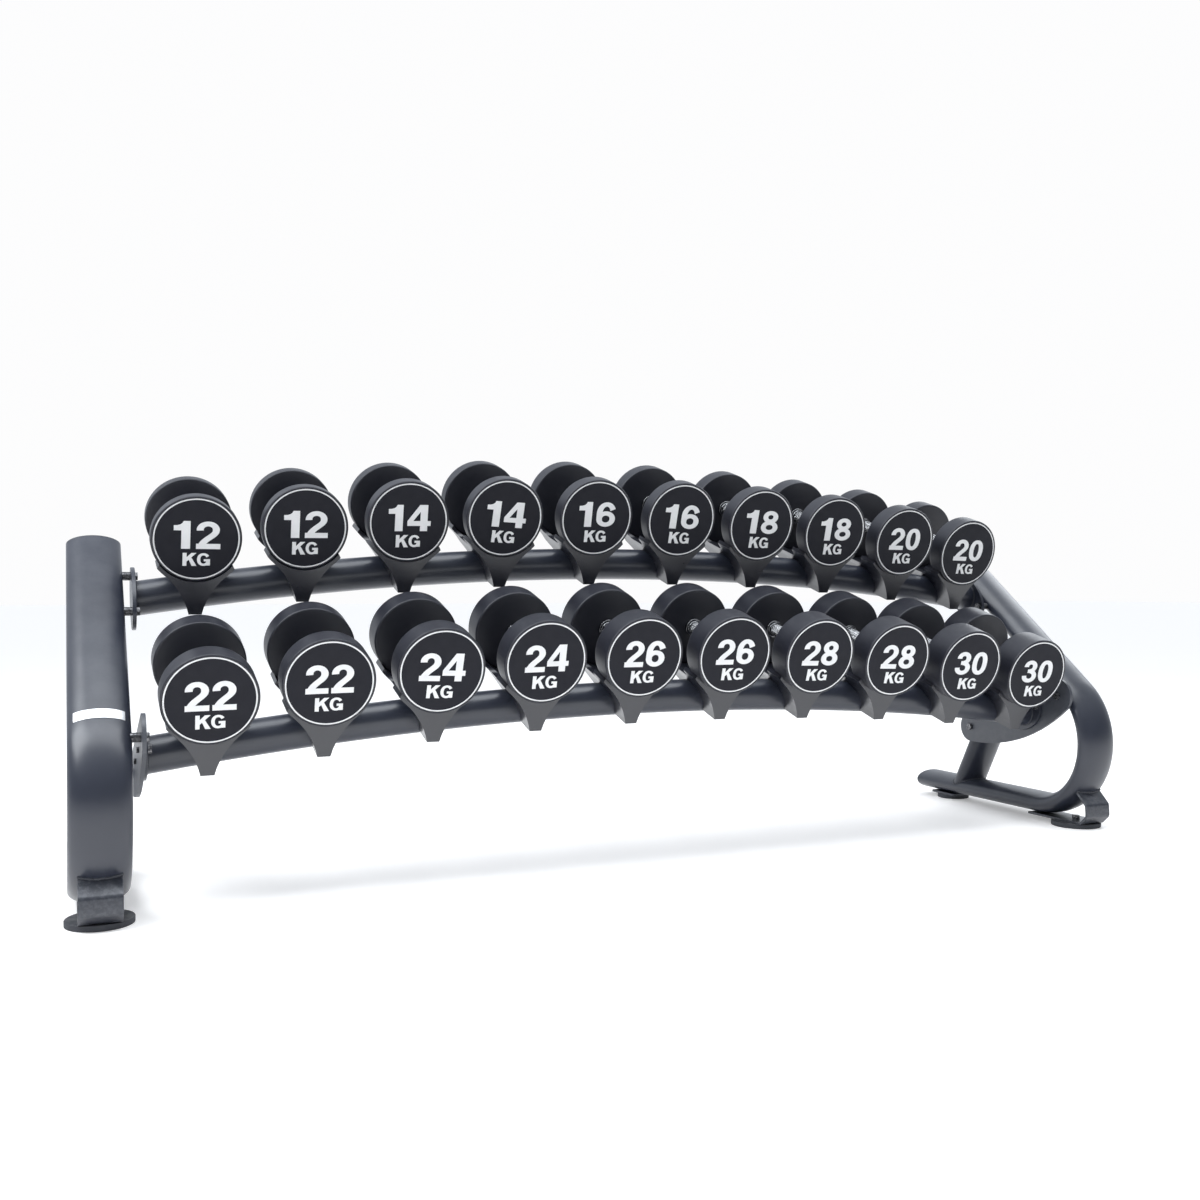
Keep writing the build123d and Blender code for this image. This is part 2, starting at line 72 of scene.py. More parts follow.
HEAD_R = 0.0935
HALF_GAP = 0.074                 # from a dumbbell's middle to each head
GRIP_R = 0.016
COLLAR_R = 0.022
COLLAR_T = 0.006
FACE_R = 0.0893
FACE_DEPTH = 0.0012
RING = (0.0853, 0.0882)          # inner and outer radius of the white ring
PRINT_LIFT = 0.0003
NUMBER_HEIGHT = 0.0605
NUMBER_WIDTH = 0.098
NUMBER_Z = 0.0090                # middle of the number above the head's axis
UNIT_HEIGHT = 0.0285
UNIT_WIDTH = 0.056
UNIT_Z = -0.0445
SIDE_SOFT = 0.004                # corner from a head's inner face to its side
RIM_SOFT = 0.0035                # corner from its side to the rim of the end face
LIP = 0.0006                     # the end face stops this far inside the rim
HEAD_STEPS = 144
WELD_GAP = 0.0022                # from one ripple of a weld bead to the next
STROKE_LIFT = 3e-5               # keeps overlapping strokes apart

# Rounding of edges on the pieces that are cut, turned or moulded.
FINE_EDGE, CUT_EDGE, PLATE_EDGE, MOULDED_EDGE = 0.0004, 0.0006, 0.0008, 0.0012

EYE = (-1.279, -2.740, 0.6295)
EYE_TURN = (math.radians(89.62), 0, math.radians(-23.68))
LENS = 36.6
LIGHT_TINT = (0.93, 0.965, 1.0)
FLOOR_HALF = 60.0

random.seed(12)

# ---------------------------------------------------------------- effects shared by the finishes


def effect(name, inputs, output):
    """An empty effect group with named number inputs and one output."""
    tree = bpy.data.node_groups.new(name, "ShaderNodeTree")
    for socket, value in inputs.items():
        made = tree.interface.new_socket(socket, in_out="INPUT", socket_type="NodeSocketFloat")
        made.default_value = value
        made.min_value = -10000
        made.max_value = 10000
    tree.interface.new_socket(output, in_out="OUTPUT", socket_type="NodeSocketFloat")
    return tree, tree.nodes.new("NodeGroupInput"), tree.nodes.new("NodeGroupOutput")


def maths(tree, operation, first, second=None, clamp=False):
    """A Math node fed by sockets or numbers; gives its output."""
    node = tree.nodes.new("ShaderNodeMath")
    node.operation = operation
    node.use_clamp = clamp
    for socket, value in zip(node.inputs, (first, second)):
        if value is None:
            continue
        if isinstance(value, (int, float)):
            socket.default_value = value
        else:
            tree.links.new(value, socket)
    return node.outputs[0]


def noise(tree, scale, detail=3.0, rough=0.55):
    """Noise over the piece's own coordinates; scale is a number or a socket."""
    place = tree.nodes.new("ShaderNodeTexCoord")
    node = tree.nodes.new("ShaderNodeTexNoise")
    node.inputs["Detail"].default_value = detail
    node.inputs["Roughness"].default_value = rough
    tree.links.new(place.outputs["Object"], node.inputs["Vector"])
    if isinstance(scale, (int, float)):
        node.inputs["Scale"].default_value = scale
    else:
        tree.links.new(scale, node.inputs["Scale"])
    return node.outputs["Fac"]


def ranged(tree, value, low, high):
    """Stretches a value so that low becomes 0 and high becomes 1."""
    node = tree.nodes.new("ShaderNodeMapRange")
    node.interpolation_type = "SMOOTHSTEP"
    for title, given in (("Value", value), ("From Min", low), ("From Max", high)):
        if isinstance(given, (int, float)):
            node.inputs[title].default_value = given
        else:
            tree.links.new(given, node.inputs[title])
    return node.outputs["Result"]


def make_fine_grain():
    """Two sizes of fine noise: the tooth of a coat, a moulding or rubber."""
    tree, given, out = effect("fine_grain", {"Scale": 900.0, "Coarse": 0.3}, "Height")
    fine = noise(tree, given.outputs["Scale"], 2.0)
    wide = noise(tree, maths(tree, "MULTIPLY", given.outputs["Scale"], 0.22), 3.0)
    both = maths(tree, "ADD", fine, maths(tree, "MULTIPLY", wide, given.outputs["Coarse"]))
    tree.links.new(both, out.inputs["Height"])
    return tree


def make_shade_drift():
    """Slow drift of tone over a piece, from handling and uneven coating."""
    tree, given, out = effect("shade_drift", {"Scale": 4.0, "Contrast": 1.0}, "Mask")
    slow = noise(tree, given.outputs["Scale"], 4.0, 0.6)
    centred = maths(tree, "SUBTRACT", slow, 0.5)
    spread = maths(tree, "MULTIPLY", centred, given.outputs["Contrast"])
    tree.links.new(maths(tree, "ADD", spread, 0.5, clamp=True), out.inputs["Mask"])
    return tree


def make_edge_wear():
    """Rubbed edges, broken up so that the wear comes and goes."""
    tree, given, out = effect("edge_wear", {"Start": 0.53, "Full": 0.62, "Patches": 60.0}, "Mask")
    shape = tree.nodes.new("ShaderNodeNewGeometry")
    edge = ranged(tree, shape.outputs["Pointiness"], given.outputs["Start"], given.outputs["Full"])
    patches = ranged(tree, noise(tree, given.outputs["Patches"], 5.0, 0.7), 0.42, 0.62)
    tree.links.new(maths(tree, "MULTIPLY", edge, patches, clamp=True), out.inputs["Mask"])
    return tree


def make_settled_dust():
    """A thin film of dust on what faces up."""
    tree, given, out = effect("settled_dust", {"Amount": 0.3, "Patches": 18.0}, "Mask")
    shape = tree.nodes.new("ShaderNodeNewGeometry")
    part = tree.nodes.new("ShaderNodeSeparateXYZ")
    tree.links.new(shape.outputs["Normal"], part.inputs[0])
    upward = ranged(tree, part.outputs["Z"], 0.35, 1.0)
    patches = ranged(tree, noise(tree, given.outputs["Patches"], 6.0, 0.65), 0.35, 0.7)
    film = maths(tree, "MULTIPLY", upward, patches)
    tree.links.new(maths(tree, "MULTIPLY", film, given.outputs["Amount"]), out.inputs["Mask"])
    return tree


def make_orange_peel():
    """The soft pebbling of a sprayed and baked powder coat."""
    tree, given, out = effect("orange_peel", {"Scale": 420.0}, "Height")
    place = tree.nodes.new("ShaderNodeTexCoord")
    cells = tree.nodes.new("ShaderNodeTexVoronoi")
    cells.feature = "SMOOTH_F1"
    tree.links.new(place.outputs["Object"], cells.inputs["Vector"])
    tree.links.new(given.outputs["Scale"], cells.inputs["Scale"])
    tree.links.new(cells.outputs["Distance"], out.inputs["Height"])
    return tree


def make_knurl():
    """Diamond knurling round a bar that lies along its own Y axis."""
    tree, given, out = effect("knurl", {"Around": 52.0, "Along": 520.0}, "Height")
    place = tree.nodes.new("ShaderNodeTexCoord")
    part = tree.nodes.new("ShaderNodeSeparateXYZ")
    tree.links.new(place.outputs["Object"], part.inputs[0])
    turn = maths(tree, "ARCTAN2", part.outputs["X"], part.outputs["Z"])
    around = maths(tree, "MULTIPLY", turn, maths(tree, "MULTIPLY", given.outputs["Around"], 0.5))
    along = maths(tree, "MULTIPLY", part.outputs["Y"], maths(tree, "MULTIPLY", given.outputs["Along"], math.pi))
    one = maths(tree, "ABSOLUTE", maths(tree, "SINE", maths(tree, "ADD", around, along)))
    other = maths(tree, "ABSOLUTE", maths(tree, "SINE", maths(tree, "SUBTRACT", around, along)))
    diamonds = maths(tree, "MINIMUM", one, other)
    inside = maths(tree, "LESS_THAN", maths(tree, "ABSOLUTE", part.outputs["Y"]), HALF_GAP - 0.014)
    tree.links.new(maths(tree, "MULTIPLY", diamonds, inside), out.inputs["Height"])
    return tree


fine_grain = make_fine_grain()
shade_drift = make_shade_drift()
edge_wear = make_edge_wear()
settled_dust = make_settled_dust()
orange_peel = make_orange_peel()
knurl = make_knurl()

# ---------------------------------------------------------------- finishes


class Finish:
    """One material: a Principled shader with effect groups placed round it."""

    def __init__(self, name, roughness, specular=0.5, metallic=0.0):
        self.material = bpy.data.materials.new(name)
        self.material.use_nodes = True
        self.tree = self.material.node_tree
        self.shader = self.tree.nodes["Principled BSDF"]
        self.shader.inputs["Roughness"].default_value = roughness
        self.shader.inputs["Specular IOR Level"].default_value = specular
        self.shader.inputs["Metallic"].default_value = metallic

    def mask(self, group, **values):
        """Places an effect group with its own values and gives its output."""
        node = self.tree.nodes.new("ShaderNodeGroup")
        node.node_tree = group
        for socket, value in values.items():
            node.inputs[socket].default_value = value
        return node.outputs[0]

    def blend(self, mask, first, second):
        """Mixes two colours, or a colour chain and a colour, by a mask."""
        node = self.tree.nodes.new("ShaderNodeMix")
        node.data_type = "RGBA"
        self.tree.links.new(mask, node.inputs["Factor"])
        for socket, value in ((node.inputs["A"], first), (node.inputs["B"], second)):
            if isinstance(value, tuple):
                socket.default_value = (*value, 1.0)
            else:
                self.tree.links.new(value, socket)
        return node.outputs["Result"]

    def colour(self, value):
        """Feeds the base colour."""
        self.tree.links.new(value, self.shader.inputs["Base Color"])

    def rough(self, mask, smooth, matt):
        """Roughness that runs from smooth to matt with a mask."""
        node = self.tree.nodes.new("ShaderNodeMapRange")
        node.inputs["To Min"].default_value = smooth
        node.inputs["To Max"].default_value = matt
        self.tree.links.new(mask, node.inputs["Value"])
        self.tree.links.new(node.outputs["Result"], self.shader.inputs["Roughness"])

    def bump(self, *heights):
        """Chains bumps; each is a height, a strength and a depth in metres."""
        last = None
        for height, strength, depth in heights:
            node = self.tree.nodes.new("ShaderNodeBump")
            node.inputs["Strength"].default_value = strength
            node.inputs["Distance"].default_value = depth
            self.tree.links.new(height, node.inputs["Height"])
            if last:
                self.tree.links.new(last, node.inputs["Normal"])
            last = node.outputs["Normal"]
        self.tree.links.new(last, self.shader.inputs["Normal"])


def charcoal_coat():
    """Satin charcoal powder coat on the tubes."""
    coat = Finish("charcoal_powder_coat", 0.36, 0.62)
    drift = coat.mask(shade_drift, Scale=3.5, Contrast=1.6)
    tone = coat.blend(drift, (0.017, 0.020, 0.031), (0.024, 0.028, 0.042))
    edges = coat.mask(edge_wear, Start=0.56, Full=0.68, Patches=45)
    rubbed = coat.blend(edges, tone, (0.075, 0.08, 0.09))
    dust = coat.mask(settled_dust, Amount=0.07, Patches=14)
    coat.colour(coat.blend(dust, rubbed, (0.3, 0.31, 0.33)))
    coat.rough(coat.mask(shade_drift, Scale=22, Contrast=1.4), 0.27, 0.37)
    pebbles, tooth = coat.mask(orange_peel, Scale=430), coat.mask(fine_grain, Scale=1600)
    coat.bump((pebbles, 0.13, 0.0003), (tooth, 0.1, 0.0001))
    return coat.material


def plate_coat():
    """The same coat on the laser-cut plates, with painted light making it a shade lighter."""
    coat = Finish("plate_coat_painted_lighter", 0.4, 0.7)
    drift = coat.mask(shade_drift, Scale=6, Contrast=1.5)
    # painted light: these tones are a lighter copy of the frame coat's tones
    tone = coat.blend(drift, (0.038, 0.042, 0.054), (0.052, 0.057, 0.070))
    edges = coat.mask(edge_wear, Start=0.53, Full=0.6, Patches=70)
    rubbed = coat.blend(edges, tone, (0.12, 0.125, 0.135))
    dust = coat.mask(settled_dust, Amount=0.08, Patches=20)
    coat.colour(coat.blend(dust, rubbed, (0.3, 0.31, 0.33)))
    coat.rough(coat.mask(shade_drift, Scale=30, Contrast=1.4), 0.38, 0.54)
    pebbles, tooth = coat.mask(orange_peel, Scale=430), coat.mask(fine_grain, Scale=1500)
    coat.bump((pebbles, 0.2, 0.0003), (tooth, 0.12, 0.0001))
    return coat.material


def strap_coat():
    """Thinner, glossier coat on the pressed steel foot straps."""
    coat = Finish("strap_coat", 0.28, 0.7, metallic=0.2)
    drift = coat.mask(shade_drift, Scale=12, Contrast=1.0)
    tone = coat.blend(drift, (0.027, 0.03, 0.04), (0.038, 0.042, 0.054))
    edges = coat.mask(edge_wear, Start=0.52, Full=0.6, Patches=110)
    rubbed = coat.blend(edges, tone, (0.13, 0.135, 0.15))
    dust = coat.mask(settled_dust, Amount=0.08, Patches=40)
    coat.colour(coat.blend(dust, rubbed, (0.3, 0.31, 0.33)))
    coat.rough(coat.mask(shade_drift, Scale=60, Contrast=0.5), 0.24, 0.33)
    pebbles, tooth = coat.mask(orange_peel, Scale=330), coat.mask(fine_grain, Scale=420, Coarse=0.6)
    coat.bump((pebbles, 0.25, 0.0003), (tooth, 0.2, 0.0002))
    return coat.material


def weld_coat():
    """Powder coat over a weld bead: the same tone, a lumpier skin."""
    coat = Finish("coated_weld", 0.46, 0.5)
    drift = coat.mask(shade_drift, Scale=60, Contrast=1.8)
    coat.colour(coat.blend(drift, (0.02, 0.022, 0.03), (0.036, 0.04, 0.05)))
    coat.rough(coat.mask(shade_drift, Scale=120, Contrast=1.4), 0.38, 0.56)
    coat.bump((coat.mask(fine_grain, Scale=420, Coarse=1.0), 0.5, 0.0006),)
    return coat.material


def cap_moulding():
    """Fine-grained dark plastic of the tube caps."""
    cap = Finish("cap_plastic", 0.55, 0.4)
    drift = cap.mask(shade_drift, Scale=25, Contrast=1.3)
    tone = cap.blend(drift, (0.022, 0.025, 0.032), (0.031, 0.034, 0.042))
    edges = cap.mask(edge_wear, Start=0.54, Full=0.66, Patches=90)
    worn = cap.blend(edges, tone, (0.07, 0.075, 0.085))
    dust = cap.mask(settled_dust, Amount=0.1, Patches=30)
    cap.colour(cap.blend(dust, worn, (0.3, 0.31, 0.33)))
    cap.rough(cap.mask(shade_drift, Scale=60, Contrast=1.2), 0.48, 0.62)
    cap.bump((cap.mask(fine_grain, Scale=1400, Coarse=0.5), 0.35, 0.00025),)
    return cap.material


def saddle_moulding():
    """Black moulded saddle plastic with a spark-eroded grain and scuffs."""
    plastic = Finish("saddle_plastic", 0.3, 0.8)
    drift = plastic.mask(shade_drift, Scale=14, Contrast=1.5)
    tone = plastic.blend(drift, (0.0085, 0.0092, 0.0145), (0.0135, 0.0146, 0.022))
    edges = plastic.mask(edge_wear, Start=0.55, Full=0.66, Patches=75)
    scuffed = plastic.blend(edges, tone, (0.034, 0.036, 0.044))
    dust = plastic.mask(settled_dust, Amount=0.03, Patches=26)
    plastic.colour(plastic.blend(dust, scuffed, (0.25, 0.26, 0.28)))
    plastic.rough(plastic.mask(shade_drift, Scale=45, Contrast=0.8), 0.24, 0.34)
    plastic.bump((plastic.mask(fine_grain, Scale=1300, Coarse=0.5), 0.2, 0.00015),)
    return plastic.material


def head_rubber():
    """Smooth dark rubber moulded round the heads."""
    rubber = Finish("head_rubber", 0.45, 0.48)
    drift = rubber.mask(shade_drift, Scale=9, Contrast=1.6)
    tone = rubber.blend(drift, (0.0095, 0.0102, 0.0165), (0.0155, 0.0168, 0.025))
    edges = rubber.mask(edge_wear, Start=0.525, Full=0.6, Patches=40)
    scuffed = rubber.blend(edges, tone, (0.035, 0.037, 0.043))
    dust = rubber.mask(settled_dust, Amount=0.05, Patches=22)
    rubber.colour(rubber.blend(dust, scuffed, (0.2, 0.21, 0.23)))
    rubber.rough(rubber.mask(shade_drift, Scale=32, Contrast=1.5), 0.36, 0.5)
    rubber.bump((rubber.mask(fine_grain, Scale=1100, Coarse=0.6), 0.22, 0.0002),)
    return rubber.material


def face_rubber():
    """Near-black end face inside the rim."""
    rubber = Finish("face_rubber", 0.5, 0.22)
    drift = rubber.mask(shade_drift, Scale=16, Contrast=1.6)
    tone = rubber.blend(drift, (0.0052, 0.0056, 0.0105), (0.0085, 0.0092, 0.0155))
    dust = rubber.mask(settled_dust, Amount=0.04, Patches=60)
    rubber.colour(rubber.blend(dust, tone, (0.15, 0.15, 0.16)))
    rubber.rough(rubber.mask(shade_drift, Scale=50, Contrast=1.4), 0.42, 0.6)
    rubber.bump((rubber.mask(fine_grain, Scale=1000, Coarse=0.7), 0.3, 0.0002),)
    return rubber.material


def white_print():
    """Off-white print of the ring, numbers and unit."""
    ink = Finish("white_print", 0.42, 0.4)
    drift = ink.mask(shade_drift, Scale=40, Contrast=1.2)
    tone = ink.blend(drift, (0.74, 0.745, 0.75), (0.86, 0.862, 0.86))
    dust = ink.mask(settled_dust, Amount=0.08, Patches=90)
    ink.colour(ink.blend(dust, tone, (0.5, 0.5, 0.49)))
    ink.rough(ink.mask(shade_drift, Scale=90, Contrast=1.2), 0.36, 0.52)
    ink.bump((ink.mask(fine_grain, Scale=1400, Coarse=0.4), 0.12, 0.0001),)
    return ink.material


def grip_chrome():
    """Hard chrome with diamond knurling and hand wear; the knurl's grooves are painted darker as painted shade.
    """
    chrome = Finish("knurled_chrome", 0.2, 0.5, metallic=1.0)
    drift = chrome.mask(shade_drift, Scale=30, Contrast=1.5)
    tone = chrome.blend(drift, (0.56, 0.565, 0.58), (0.68, 0.685, 0.7))
    # painted shade: the knurl's grooves get a darker chrome colour than the tops of the diamonds
    chrome.colour(chrome.blend(chrome.mask(knurl, Around=52, Along=520), (0.3, 0.305, 0.315), tone))
    chrome.rough(chrome.mask(shade_drift, Scale=80, Contrast=1.6), 0.16, 0.3)
    chrome.bump((chrome.mask(knurl, Around=52, Along=520), 0.7, 0.0006),)
    return chrome.material


def black_oxide():
    """Oiled black oxide on the bolts, bushes and screws."""
    steel = Finish("black_oxide", 0.35, 0.5, metallic=0.85)
    drift = steel.mask(shade_drift, Scale=70, Contrast=1.8)
    tone = steel.blend(drift, (0.035, 0.035, 0.038), (0.075, 0.075, 0.08))
    edges = steel.mask(edge_wear, Start=0.52, Full=0.58, Patches=200)
    steel.colour(steel.blend(edges, tone, (0.35, 0.35, 0.36)))
    steel.rough(steel.mask(shade_drift, Scale=150, Contrast=1.6), 0.26, 0.46)
    steel.bump((steel.mask(fine_grain, Scale=1500, Coarse=0.6), 0.2, 0.0001),)
    return steel.material


def brushed_badge():
    """Brushed aluminium badge with its lines along the width."""
    badge = Finish("brushed_aluminium", 0.35, 0.5, metallic=0.9)
    place = badge.tree.nodes.new("ShaderNodeTexCoord")
    stretch = badge.tree.nodes.new("ShaderNodeMapping")
    stretch.inputs["Scale"].default_value = (6.0, 900.0, 900.0)
    lines = badge.tree.nodes.new("ShaderNodeTexNoise")
    lines.inputs["Scale"].default_value = 1.6
    lines.inputs["Detail"].default_value = 3.0
    badge.tree.links.new(place.outputs["Object"], stretch.inputs["Vector"])
    badge.tree.links.new(stretch.outputs["Vector"], lines.inputs["Vector"])
    badge.colour(badge.blend(lines.outputs["Fac"], (0.62, 0.63, 0.64), (0.86, 0.865, 0.87)))
    badge.rough(lines.outputs["Fac"], 0.3, 0.46)
    badge.bump((lines.outputs["Fac"], 0.2, 0.0001),)
    return badge.material


def pad_rubber():
    """Matt ribless rubber of the feet, greyed where it meets the floor."""
    rubber = Finish("pad_rubber", 0.75, 0.35)
    drift = rubber.mask(shade_drift, Scale=20, Contrast=1.5)
    tone = rubber.blend(drift, (0.036, 0.038, 0.045), (0.058, 0.061, 0.07))
    edges = rubber.mask(edge_wear, Start=0.52, Full=0.6, Patches=60)
    scuffed = rubber.blend(edges, tone, (0.11, 0.11, 0.112))
    dust = rubber.mask(settled_dust, Amount=0.3, Patches=35)
    rubber.colour(rubber.blend(dust, scuffed, (0.3, 0.3, 0.29)))
    rubber.rough(rubber.mask(shade_drift, Scale=60, Contrast=1.3), 0.66, 0.85)
    rubber.bump((rubber.mask(fine_grain, Scale=800, Coarse=0.9), 0.5, 0.0004),)
    return rubber.material


def studio_floor():
    """Seamless pale studio floor."""
    floor = Finish("studio_floor", 0.75, 0.1)
    floor.shader.inputs["Emission Color"].default_value = (1, 1, 1, 1)
    floor.shader.inputs["Emission Strength"].default_value = 0.26
    drift = floor.mask(shade_drift, Scale=0.8, Contrast=0.8)
    floor.colour(floor.blend(drift, (0.9, 0.88, 0.86), (0.93, 0.91, 0.89)))
    floor.rough(floor.mask(shade_drift, Scale=3, Contrast=1.0), 0.7, 0.85)
    floor.bump((floor.mask(fine_grain, Scale=90), 0.05, 0.0002),)
    return floor.material


coat = charcoal_coat()
plate = plate_coat()
strap = strap_coat()
weld = weld_coat()
cap = cap_moulding()
saddle = saddle_moulding()
rubber = head_rubber()
face = face_rubber()
ink = white_print()
chrome = grip_chrome()
oxide = black_oxide()
badge = brushed_badge()
pad = pad_rubber()

# ---------------------------------------------------------------- mesh tools


def new_piece(name, mesh, materials, body, smooth_angle=35):
    """Links a mesh as a piece that rides on a body."""
    for material in materials:
        mesh.materials.append(material)
    mesh.polygons.foreach_set("use_smooth", [True] * len(mesh.polygons))
    mesh.set_sharp_from_angle(angle=math.radians(smooth_angle))
    piece = bpy.data.objects.new(name, mesh)
    bpy.context.scene.collection.objects.link(piece)
    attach(piece, body)
    return piece


def skin(name, rings, closed=False, capped=False):
    """A mesh skinned over rings of points; closed joins the last ring to the first."""
    mesh = bpy.data.meshes.new(name)
    count = len(rings[0])
    points = [point for ring in rings for point in ring]
    faces = []
    last = len(rings) if closed else len(rings) - 1
    for row in range(last):
        here = row * count
        there = (row + 1) % len(rings) * count
        for step in range(count):
            ahead = (step + 1) % count
            faces.append((here + step, here + ahead, there + ahead, there + step))
    if capped:
        faces.append(tuple(range(count))[::-1])
        faces.append(tuple(range((len(rings) - 1) * count, len(rings) * count)))
    mesh.from_pydata(points, [], faces)
    mesh.validate()
    face_outward(mesh)
    return mesh


def face_outward(mesh):
    """Turns every face of a mesh to the outside."""
    work = bmesh.new()
    work.from_mesh(mesh)
    bmesh.ops.recalc_face_normals(work, faces=work.faces)
    work.to_mesh(mesh)
    work.free()


def lathe(name, profile, segments=128):
    """Turns a profile of (radius, distance along Y) round the Y axis; radius 0 closes it."""
    work = bmesh.new()
    rings = []
    for radius, along in profile:
        if radius == 0:
            rings.append([work.verts.new((0, along, 0))])
            continue
        ring = []
        for step in range(segments):
            turn = 2 * math.pi * step / segments
            ring.append(work.verts.new((radius * math.cos(turn), along, radius * math.sin(turn))))
        rings.append(ring)
    for one, two in zip(rings, rings[1:]):
        for step in range(segments):
            ahead = (step + 1) % segments
            corners = [one[step % len(one)], one[ahead % len(one)], two[ahead % len(two)], two[step % len(two)]]
            work.faces.new(list(dict.fromkeys(corners)))
    bmesh.ops.recalc_face_normals(work, faces=work.faces)
    mesh = bpy.data.meshes.new(name)
    work.to_mesh(mesh)
    work.free()
    return mesh


def round_corner(centre, radius, start, finish, steps=5):
    """Points of a rounded corner in a profile, from one angle to another in degrees."""
    points = []
    for step in range(steps + 1):
        turn = math.radians(start + (finish - start) * step / steps)
        points.append((centre[0] + radius * math.cos(turn), centre[1] + radius * math.sin(turn)))
    return points


def finished_copy(node, material, edge, steps=2):
    """A copy of a CAD node with its edges broken, standing for the node."""
    work = bmesh.new()
    work.from_mesh(frame["nodes"][node].data)
    bmesh.ops.remove_doubles(work, verts=work.verts, dist=1e-6)
    bmesh.ops.dissolve_limit(work, angle_limit=math.radians(0.4), verts=work.verts, edges=work.edges)
    mesh = bpy.data.meshes.new(f"{node}_finished")
    work.to_mesh(mesh)
    work.free()
    piece = new_piece(f"{node}_finished", mesh, [material], body_of_node[node], 32)
    broken = piece.modifiers.new("broken_edges", "BEVEL")
    broken.width = edge
    broken.segments = steps
    broken.limit_method = "ANGLE"
    broken.angle_limit = math.radians(32)
    broken.harden_normals = True
    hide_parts(node)
    return piece


# ---------------------------------------------------------------- end frames and struts


def frame_path():
    """The end frame's centreline, with its outward direction, from the base's end to the post's top."""
    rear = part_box("right_end_frame")[1].y
    path = [(Vector((rear, BASE_Z)), Vector((0, -1)))]
    for step in range(49):
        turn = math.radians(-90) - (math.pi - POST_ANGLE) * step / 48
        outward = Vector((math.cos(turn), math.sin(turn)))
        path.append((BEND + BEND_R * outward, outward))
    top = Vector((math.cos(POST_ANGLE), math.sin(POST_ANGLE))) * POST_LENGTH
    path.append((path[-1][0] + top, path[-1][1]))
    return path


def oval_ring(centre, outward, x, sizes, count=96):
    """One elliptical ring of a tube that lies in a side plane."""
    ring = []
    for step in range(count):
        turn = 2 * math.pi * step / count
        spot = centre + outward * sizes[1] * math.sin(turn)
        ring.append(Vector((x + sizes[0] * math.cos(turn), spot.x, spot.y)))
    return ring


def end_frame(side, x):
    """One bent oval tube: base, front bend and post."""
    rings = [oval_ring(centre, outward, x, TUBE) for centre, outward in frame_path()]
    name = f"{side}_end_frame_tube"
    piece = new_piece(name, skin(name, rings), [coat], "rack")
    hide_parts(f"{side}_end_frame")


def strut_points(x, turn, height):
    """A point on a strut's surface, by the turn round it and the height along it."""
    along = Vector((-math.sin(STRUT_LEAN), math.cos(STRUT_LEAN)))
    across = Vector((math.cos(STRUT_LEAN), math.sin(STRUT_LEAN)))
    spot = Vector((STRUT_FOOT_Y, BASE_Z)) + along * height + across * STRUT[1] * math.sin(turn)
    return Vector((x + STRUT[0] * math.cos(turn), spot.x, spot.y))


def foot_height(turn):
    """How far up the strut its wall leaves the base tube."""
    x = STRUT[0] * math.cos(turn)
    top = TUBE[1] * math.sqrt(1 - (x / TUBE[0]) ** 2)
    return (top - STRUT[1] * math.sin(turn) * math.sin(STRUT_LEAN)) / math.cos(STRUT_LEAN)


def struts():
    """Both struts, from inside the base tube to their closed, soft-edged tops."""
    parts = []
    for x in (-FRAME_X, FRAME_X):
        turns = [2 * math.pi * step / 96 for step in range(96)]
        rings = [[strut_points(x, turn, foot_height(turn) - 0.002) for turn in turns]]
        rings += [[strut_points(x, turn, height) for turn in turns] for height in (0.12, STRUT_LENGTH - 0.004)]
        middle = strut_points(x, 0, STRUT_LENGTH).lerp(strut_points(x, math.pi, STRUT_LENGTH), 0.5)
        for shrink, drop in ((0.985, 0.0018), (0.95, 0.0005), (0.9, 0.0), (0.4, 0.0), (0.02, 0.0)):
            rings.append([middle.lerp(strut_points(x, turn, STRUT_LENGTH), shrink) for turn in turns])
            slope = Vector((0, math.sin(STRUT_LEAN), -math.cos(STRUT_LEAN))) * drop
            rings[-1] = [point + slope for point in rings[-1]]
        parts.append(skin("strut", rings))
    piece = new_piece("strut_tubes", joined("strut_tubes", parts), [coat], "rack", 40)
    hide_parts("struts")


def joined(name, meshes):
    """Several meshes as one."""
    work = bmesh.new()
    for mesh in meshes:
        work.from_mesh(mesh)
    made = bpy.data.meshes.new(name)
    work.to_mesh(made)
    work.free()
    return made


# ---------------------------------------------------------------- rails


def rail(tier):
    """One arched rail, cut upright at its ends."""
    low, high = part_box(f"{tier}_rail")
    sag_way = Vector((0, math.cos(ARC_SLOPE), -math.sin(ARC_SLOPE)))
    half = math.asin(high.x / ARC_R)
    # The rail's centre at mid-length lies one radius inside the box's front and top.
    middle = Vector((0, low.y + RAIL_R, high.z - RAIL_R))
    rings = []
    for step in range(97):
        turn = half * (2 * step / 96 - 1)
        centre = middle + Vector((ARC_R * math.sin(turn), 0, 0)) + sag_way * ARC_R * (1 - math.cos(turn))
        tangent = Vector((math.cos(turn), 0, 0)) + sag_way * math.sin(turn)
        side = tangent.cross(sag_way).normalized()
        up = side.cross(tangent).normalized()
        ring = []
        for place in range(64):
            angle = 2 * math.pi * place / 64
            point = centre + (side * math.cos(angle) + up * math.sin(angle)) * RAIL_R
            if step in (0, 96):
                point += tangent * (math.copysign(high.x, turn) - point.x) / tangent.x
            ring.append(point)
        rings.append(ring)
    piece = new_piece(f"{tier}_rail_tube", skin(f"{tier}_rail_tube", rings), [coat], "rack")
    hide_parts(f"{tier}_rail")
    return [rings[0], rings[-1]]


# ---------------------------------------------------------------- welds


